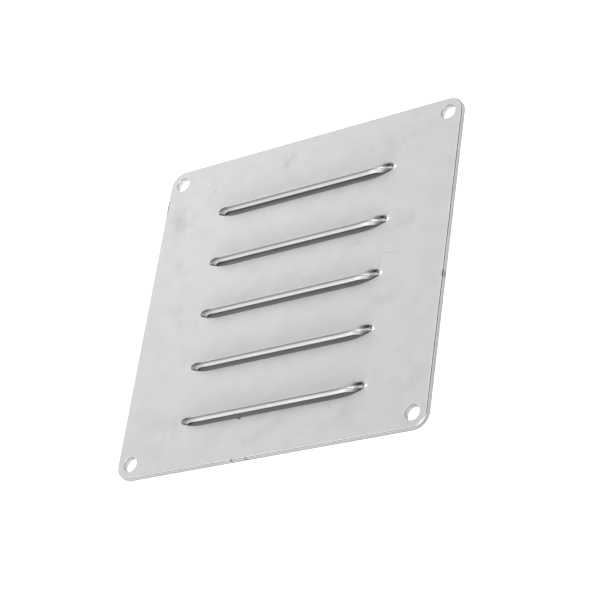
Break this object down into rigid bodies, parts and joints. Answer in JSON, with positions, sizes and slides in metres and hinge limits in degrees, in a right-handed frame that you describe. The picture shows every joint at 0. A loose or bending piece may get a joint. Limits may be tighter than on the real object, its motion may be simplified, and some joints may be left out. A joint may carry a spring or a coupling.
{
  "type": "louvred vent plate",
  "caption": "Square pressed steel vent plate with rounded corners, a screw hole in each corner and a row of long lanced louvres that open downwards.",
  "frame": {"origin": "centre of the plate's back face", "axes": "+X along the louvres, +Y up the plate as it hangs on a wall, +Z out of the front face; the louvres open towards -Y"},
  "size_m": [0.1, 0.099, 0.0045],
  "materials": {
    "steel": "bare cold-rolled stainless sheet, satin"
  },
  "bodies": {
    "root": {"vent_plate": "steel"}
  },
  "joints": []
}
